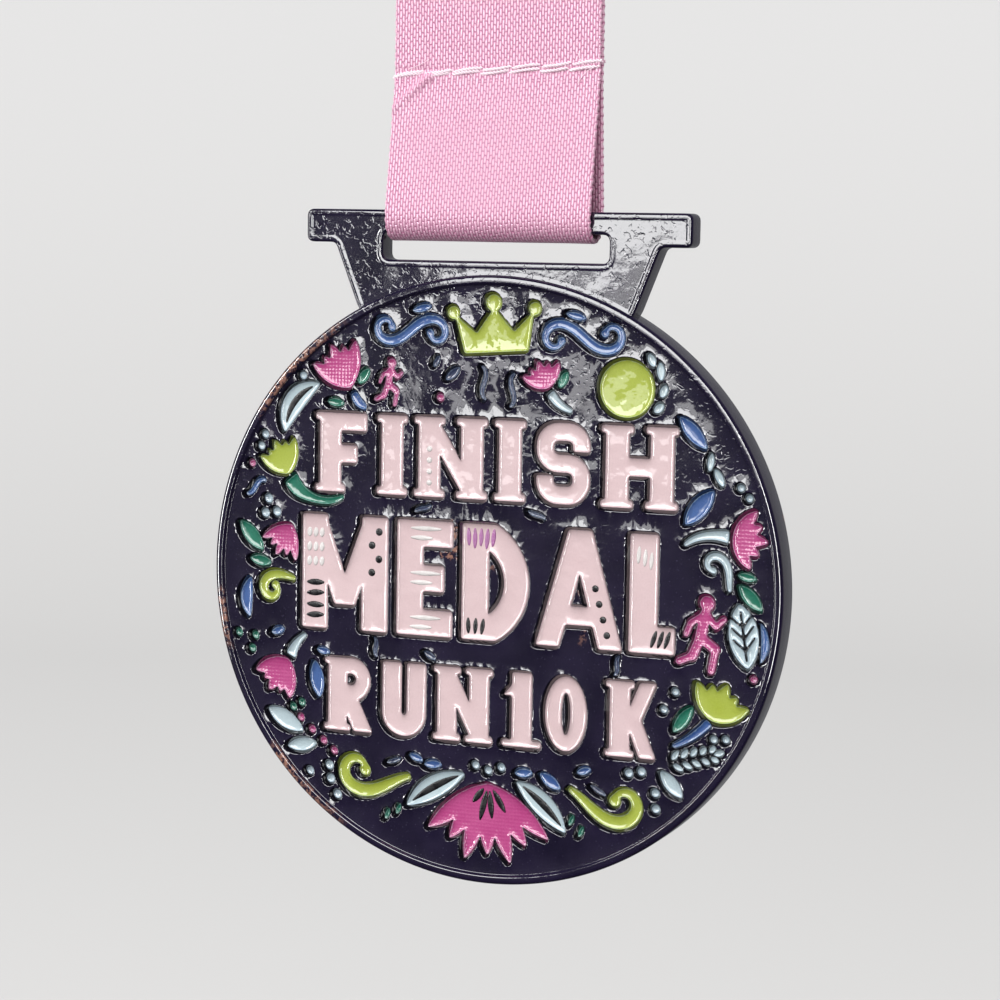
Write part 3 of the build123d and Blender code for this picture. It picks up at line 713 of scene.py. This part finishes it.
def header_outlines():
    """The header's outline, closed by an arc inside the rim, and its slot's outline."""
    outlines = sorted(section_outlines("casting", 0.0), key=len)
    whole = max(outlines, key=lambda outline: np.ptp(outline[:, 0]))
    slots = [outline for outline in outlines if outline is not whole]
    if not turned_left(whole):
        whole = whole[::-1]
    beyond = np.linalg.norm(whole, axis=1) > disc_radius + 0.02
    first = int(np.flatnonzero(beyond & ~np.roll(beyond, 1))[0])
    upper = np.roll(whole, -first, axis=0)[:beyond.sum()]
    inner = disc_radius - 0.45
    left = math.atan2(upper[-1][1], upper[-1][0])
    right = math.atan2(upper[0][1], upper[0][0])
    turn = np.linspace(left, right, 60)
    arc = np.stack([inner * np.cos(turn), inner * np.sin(turn)], axis=1)
    slots = [outline[::-1] if turned_left(outline) else outline for outline in slots]
    return [np.vstack([upper, arc])] + slots


def plate_rise(away):
    """How far the header's faces stand back: rounded at the edges, with a fine step down inside them."""
    short = (header_round - away).clip(0, header_round)
    rounding = header_round - np.sqrt(header_round ** 2 - short ** 2)
    step_from, step_run, step_drop = 0.62, 0.14, 0.03
    step = ((away - step_from) / step_run).clip(0, 1)
    return rounding + step_drop * step * step * (3 - 2 * step)


def make_casting():
    """The disc and the header, which stand for one CAD node."""
    disc_points, disc_faces, marks = make_disc()
    disc = made("casting_disc", disc_points, disc_faces, lacquer, marks=marks)
    outlines = [evened(outline, 0.25, passes=1) for outline in header_outlines()]
    header = slab(
        "casting_header", outlines, header_rings, header_pitch,
        lambda places, away: header_front + plate_rise(away),
        lambda away: -header_front - plate_rise(away), lacquer,
    )
    marks = np.full(len(header.data.vertices), face_mark, dtype=np.float32)
    header.data.attributes["mark"].data.foreach_set("value", marks)
    standing_for(disc, "casting")
    standing_for(header, "casting")


make_fills()
make_accents()
make_casting()


# The ribbon

neck_low, neck_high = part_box("neck_ribbon")
loop_low, loop_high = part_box("medal_loop")
seam_low, seam_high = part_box("seam_thread")
cloth_thickness = 0.66
cloth_width = (loop_high.x - loop_low.x) / MM
cloth_left = loop_low.x / MM
cad_half_cloth = 0.4
layer_depth = cad_half_cloth
seam_height = (seam_low.z + seam_high.z) / 2 / MM - disc_middle


def arc_between(centre, radius, start, end, step):
    """Points of an arc in (y, z), with angles in degrees."""
    count = max(int(abs(math.radians(end - start)) * radius / step), 8)
    turn = np.radians(np.linspace(start, end, count + 1))
    return [(radius * math.cos(t), centre + radius * math.sin(t)) for t in turn]


def ribbon_line():
    """The closed middle line of the ribbon in (y, z), up its front first, from the seam."""
    hook_radius = neck_high.y / MM - cad_half_cloth
    hook_centre = neck_high.z / MM - disc_middle - cad_half_cloth - hook_radius
    bar_radius = loop_high.y / MM - cad_half_cloth
    bar_centre = loop_low.z / MM - disc_middle + cad_half_cloth + bar_radius
    join_low, join_high = seam_height - 1.2, hook_centre - 12.0
    arc_step, row_pitch, smoothings = 0.3, 0.24, 60
    line = [(-layer_depth, join_low), (-layer_depth, join_high)]
    line += arc_between(hook_centre, hook_radius, 195, -15, arc_step)
    line += [(layer_depth, join_high), (layer_depth, join_low)]
    line += arc_between(bar_centre, bar_radius, 10, -190, arc_step)
    closed = np.array(line + line[:1])
    along = np.concatenate([[0], np.cumsum(np.linalg.norm(np.diff(closed, axis=0), axis=1))])
    count = int(along[-1] / row_pitch)
    at = np.linspace(0, along[-1], count, endpoint=False)
    even = np.stack([np.interp(at, along, closed[:, i]) for i in (0, 1)], axis=1)
    for _ in range(smoothings):
        even = (np.roll(even, 1, axis=0) + 2 * even + np.roll(even, -1, axis=0)) / 4
    return even


def crease(x, z):
    """The height of the slanting crease below the seam's left end, from 0 to 1."""
    start, run, width = (-8.6, 57.4), (-4.9, -4.2), 0.42
    share = ((x - start[0]) * run[0] + (z - start[1]) * run[1]) / (run[0] ** 2 + run[1] ** 2)
    share = min(max(share, 0), 1)
    gap = math.hypot(x - start[0] - share * run[0], z - start[1] - share * run[1])
    return math.exp(-(gap / width) ** 2) * (1 - 0.5 * share)


def make_ribbon():
    """One band of cloth with rounded, slightly uneven edges, nipped in along the seam."""
    line = ribbon_line()
    steps = np.linalg.norm(np.roll(line, -1, axis=0) - line, axis=1)
    length = steps.sum()
    along = np.concatenate([[0], np.cumsum(steps)[:-1]])
    run = np.roll(line, -1, axis=0) - np.roll(line, 1, axis=0)
    run /= np.linalg.norm(run, axis=1)[:, None]
    out = np.stack([-run[:, 1], run[:, 0]], axis=1)
    if (out * (line - line.mean(axis=0))).sum(axis=1).mean() < 0:
        out = -out
    half = cloth_thickness / 2
    edge = [(0.0, 0.0), (0.06, 0.6), (0.16, 0.86), (0.3, 1.0), (0.55, 1.0), (1.0, 0.97)]
    outer = edge + [(x, 0.95) for x in np.linspace(1.6, cloth_width - 1.6, 64)]
    outer += [(cloth_width - x, share) for x, share in edge[::-1]]
    section = outer + [(x, -share) for x, share in outer[-2:0:-1]]
    nip_depth, nip_width = 0.45, 0.35
    scallop_depth, fringe_width = 0.07, 0.3
    sway_depth, crease_depth, outer_share = 0.10, 1.4, 0.3
    rows, columns = len(line), len(section)
    points = np.empty((rows, columns, 3))
    cloth = np.empty((rows, columns, 2))
    for i in range(rows):
        y, z = line[i]
        nip = math.exp(-((z - seam_height) / nip_width) ** 2) * (1 if abs(y) < 0.9 else 0)
        lean = 0.3 * min(max((z - 40) / 18, 0), 1) - 0.05
        scallop = scallop_depth * math.sin(2 * math.pi * along[i] / float_length)
        for j, (x, share) in enumerate(section):
            side = 1 if x > cloth_width / 2 else -1
            fringe = scallop * max(0.0, 1 - min(x, cloth_width - x) / fringe_width) * side
            ease = sway_depth * noise.noise(Vector((x / 6, z / 7, 5.0 if y < 0 else 9.0)))
            if y < 0:
                ease += crease_depth * crease(cloth_left + x, z)
            puff = half * share * (1 - nip_depth * nip) + ease * (outer_share if share > 0 else 0)
            points[i, j] = (cloth_left + x + lean + fringe, y + out[i, 0] * puff, z + out[i, 1] * puff)
            cloth[i, j] = (along[i] * MM, x * MM)
    faces, uvs = [], []
    for i in range(rows):
        k = (i + 1) % rows
        for j in range(columns):
            m = (j + 1) % columns
            faces.append((i * columns + j, i * columns + m, k * columns + m, k * columns + j))
            onward = length * MM if k == 0 else cloth[k, 0, 0]
            here = cloth[i, 0, 0]
            for a, b, u in ((i, j, here), (i, m, here), (k, m, onward), (k, j, onward)):
                uvs += (u, cloth[a, b, 1])
    ribbon = made("ribbon", points.reshape(-1, 3), faces, satin, 60)
    layer = ribbon.data.uv_layers.new(name="cloth")
    layer.data.foreach_set("uv", uvs)
    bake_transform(ribbon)
    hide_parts("neck_ribbon", "medal_loop")
    return ribbon, length


def tube(points, radius, sides=7):
    """The points and faces of a closed round tube along points in millimetres."""
    points = np.asarray(points)
    run = np.gradient(points, axis=0)
    run /= np.linalg.norm(run, axis=1)[:, None]
    aside = np.cross(run, (0.0, 0.0, 1.0) if abs(run[0, 2]) < 0.8 else (1.0, 0.0, 0.0))
    aside /= np.linalg.norm(aside, axis=1)[:, None]
    up = np.cross(run, aside)
    turn = np.linspace(0, 2 * math.pi, sides, endpoint=False)
    cosine, sine = np.cos(turn)[None, :, None], np.sin(turn)[None, :, None]
    rings = points[:, None] + radius * (cosine * aside[:, None] + sine * up[:, None])
    faces = []
    for i in range(len(points) - 1):
        for j in range(sides):
            k = (j + 1) % sides
            faces.append((i * sides + j, i * sides + k, (i + 1) * sides + k, (i + 1) * sides + j))
    faces.append(list(range(sides))[::-1])
    faces.append([(len(points) - 1) * sides + j for j in range(sides)])
    return rings.reshape(-1, 3), faces


def make_stitches():
    """Two rows of two-ply stitches on both faces of the ribbon, with a few loose fibres."""
    points, faces, total = [], [], 0

    def keep(tube_points, tube_faces):
        nonlocal total
        points.append(tube_points)
        faces.extend([[i + total for i in f] for f in tube_faces])
        total += len(tube_points)

    left, right = seam_low.x / MM - 0.25, seam_high.x / MM + 0.45
    count = 7
    pitch = (right - left) / count
    ply_radius, fibre_radius, twist_pitch = 0.105, 0.035, 0.85
    share = np.linspace(0, 1, 26)
    lift = 0.3 * np.sin(math.pi * share) ** 0.45 - 0.12
    for face in (-1, 1):
        surface = face * (layer_depth + cloth_thickness / 2 - 0.13)
        for row in (-1, 1):
            for i in range(count):
                x = left + pitch * (i + 0.01 + 0.98 * share) + 0.3 * (row > 0)
                spread = 0.35 * row * (0.3 + 0.7 * i / count)
                climb = 0.95 * (x - left) / (right - left)
                slant = 0.3 * (share - 0.5)
                bow = 0.08 * np.sin(math.pi * share) * (1 if (i + row) % 2 else -1)
                level = seam_height - 0.45 + climb + spread + slant + bow
                middle = np.column_stack([x, surface + face * lift, level])
                for start in (0, math.pi):
                    turn = start + 2 * math.pi * x / twist_pitch
                    wound = middle + ply_radius * np.column_stack([0 * x, np.cos(turn), np.sin(turn)])
                    keep(*tube(wound, ply_radius))
    # Each loose fibre's start across the ribbon, its rise, its reach and its bend
    fibres = (
        (left + 2, 0.6, 2.6, 0.5), (left + 9, -0.7, 2.1, -0.4), (right - 1.5, 0.9, 2.4, 0.7),
        (right - 0.6, -0.6, 1.9, -1.1), (right - 5, 0.9, 1.6, 0.3), (left + 0.6, -0.5, 1.8, -0.6),
    )
    for number, (x, rise, reach, bend) in enumerate(fibres):
        share = np.linspace(0, 1, 14)
        path = np.column_stack([
            x + reach * share * math.cos(number),
            -layer_depth - cloth_thickness / 2 - 0.1 - 0.5 * share * (1 - share),
            seam_height + 0.2 + rise * share + bend * share * share,
        ])
        keep(*tube(path, fibre_radius, 5))
    stitches = made("seam_stitches", np.vstack(points), faces, thread, 70)
    standing_for(stitches, "seam_thread")
    return stitches


ribbon, ribbon_length = make_ribbon()
stitches = make_stitches()


# The studio

def area_light(name, place, target, size, power, roll=0.0):
    """A soft rectangular light that faces a target, turned about its own axis by a roll in degrees."""
    light = bpy.data.lights.new(name, "AREA")
    light.shape = "RECTANGLE"
    light.size, light.size_y = size
    light.energy = power
    lamp = bpy.data.objects.new(name, light)
    lamp.location = place
    lamp.rotation_mode = "QUATERNION"
    facing = (Vector(target) - Vector(place)).to_track_quat("-Z", "Y")
    lamp.rotation_quaternion = facing @ Quaternion((0, 0, 1), math.radians(roll))
    bpy.context.scene.collection.objects.link(lamp)
    return lamp


def make_floor():
    """A wide pale floor below the medal, curving up all round into a pale wall, with painted shade that
    darkens it towards the bottom.
    """
    level, reach, bend, top = casting_low.z - 0.12, 1.5, 0.6, 1.6
    profile = [(0.0, level), (reach - bend, level)]
    for angle in range(6, 90, 6):
        turn = math.radians(angle)
        profile.append((reach - bend + bend * math.sin(turn), level + bend * (1 - math.cos(turn))))
    profile.append((reach, top))
    mesh = bpy.data.meshes.new("floor")
    floor = bpy.data.objects.new("floor", mesh)
    bpy.context.scene.collection.objects.link(floor)
    sides = 96
    points = [(0, 0, level)]
    faces = []
    for row, (radius, height) in enumerate(profile[1:]):
        first = 1 + row * sides
        for i in range(sides):
            turn = 2 * math.pi * i / sides
            points.append((radius * math.cos(turn), radius * math.sin(turn), height))
            j = (i + 1) % sides
            if row:
                faces.append((first - sides + i, first + i, first + j, first - sides + j))
            else:
                faces.append((0, first + i, first + j))
    mesh.from_pydata(points, [], faces)
    mesh.shade_smooth()
    material, tree, shader = tree_of("floor")
    where = tree.nodes.new("ShaderNodeTexCoord").outputs["Object"]
    height = added(tree, "ShaderNodeSeparateXYZ", Vector=where).outputs["Z"]
    high = between(tree, height, (level, 0.0), (level + 0.6, 1.0))
    # Painted shade: darker at the floor, paler up the wall, graded by height.
    floor_shade_colour, wall_colour = (0.55, 0.545, 0.54), (0.98, 0.975, 0.97)
    give(tree, shader, "Base Color", mixed(tree, high, floor_shade_colour, wall_colour))
    shader.inputs["Roughness"].default_value = 0.9
    shader.inputs["Specular IOR Level"].default_value = 0.2
    mesh.materials.append(material)
    floor.visible_glossy = False
    floor.visible_diffuse = False
    floor.visible_shadow = False


def make_world():
    """Even pale light; in reflections it is dim in front of the medal and pale behind it."""
    world = bpy.data.worlds.new("studio")
    world.use_nodes = True
    tree = world.node_tree
    background = tree.nodes["Background"]
    path = tree.nodes.new("ShaderNodeLightPath")
    where = tree.nodes.new("ShaderNodeTexCoord").outputs["Generated"]
    apart = added(tree, "ShaderNodeSeparateXYZ", Vector=where)
    deep = ramp(
        tree, computed(tree, "MULTIPLY_ADD", apart.outputs["Y"], 0.5, 0.5),
        (0.3, (0.012, 0.012, 0.018)), (0.55, (0.03, 0.03, 0.04)), (0.8, (0.22, 0.22, 0.23)),
    )
    high = ramp(
        tree, computed(tree, "MULTIPLY_ADD", apart.outputs["Z"], 0.5, 0.5),
        (0.25, (0.09, 0.09, 0.10)), (0.8, (1.15, 1.15, 1.15)),
    )
    colour = mixed(tree, path.outputs["Is Glossy Ray"], high, deep)
    tree.links.new(colour, background.inputs["Color"])
    bpy.context.scene.world = world


def make_camera():
    """The camera, in front and to the right, a little above the disc's middle.

    Its place and axes come from a fit to the disc's outline and the header's corners, in the row frame.
    """
    camera = bpy.data.cameras.new("camera")
    camera.lens = 93.6
    camera.sensor_width = 36
    body = bpy.data.objects.new("camera", camera)
    place = Matrix.Translation((0.11205, -0.27393, -0.04060))
    right = Vector((0.92559, 0.37816, 0.01660))
    forward = Vector((-0.37473, 0.92161, -0.10103)).normalized()
    up = right.cross(forward).normalized()
    right = forward.cross(up)
    turn = Matrix((right, up, -forward)).transposed().to_4x4()
    body.matrix_world = place @ turn
    bpy.context.scene.collection.objects.link(body)
    bpy.context.scene.camera = body


# The key lights show only in the lacquer's and the enamel's gloss, and the top light only in their colours.
# The narrow lights at the left and the right draw the bright lines along the edges.
medal_middle = (0, 0, disc_middle * MM)
key_roll = 12
key = area_light("key", (-0.218, -0.94, 0.207), medal_middle, (0.5, 0.5), 4.4, key_roll)
key.visible_diffuse = False
low_key = area_light("low_key", (-0.160, -0.94, -0.065), medal_middle, (0.5, 0.056), 0.17, key_roll)
low_key.visible_diffuse = False
area_light("left", (-0.68, -0.66, 0.05), medal_middle, (0.07, 0.7), 3.2)
area_light("right", (0.11, -0.94, -0.05), medal_middle, (0.05, 0.6), 2.0)
top = area_light("top", (0.05, -0.75, 0.85), medal_middle, (0.9, 0.8), 8.5)
top.visible_glossy = False
make_floor()
make_world()
make_camera()
bpy.context.scene.view_settings.view_transform = "Standard"
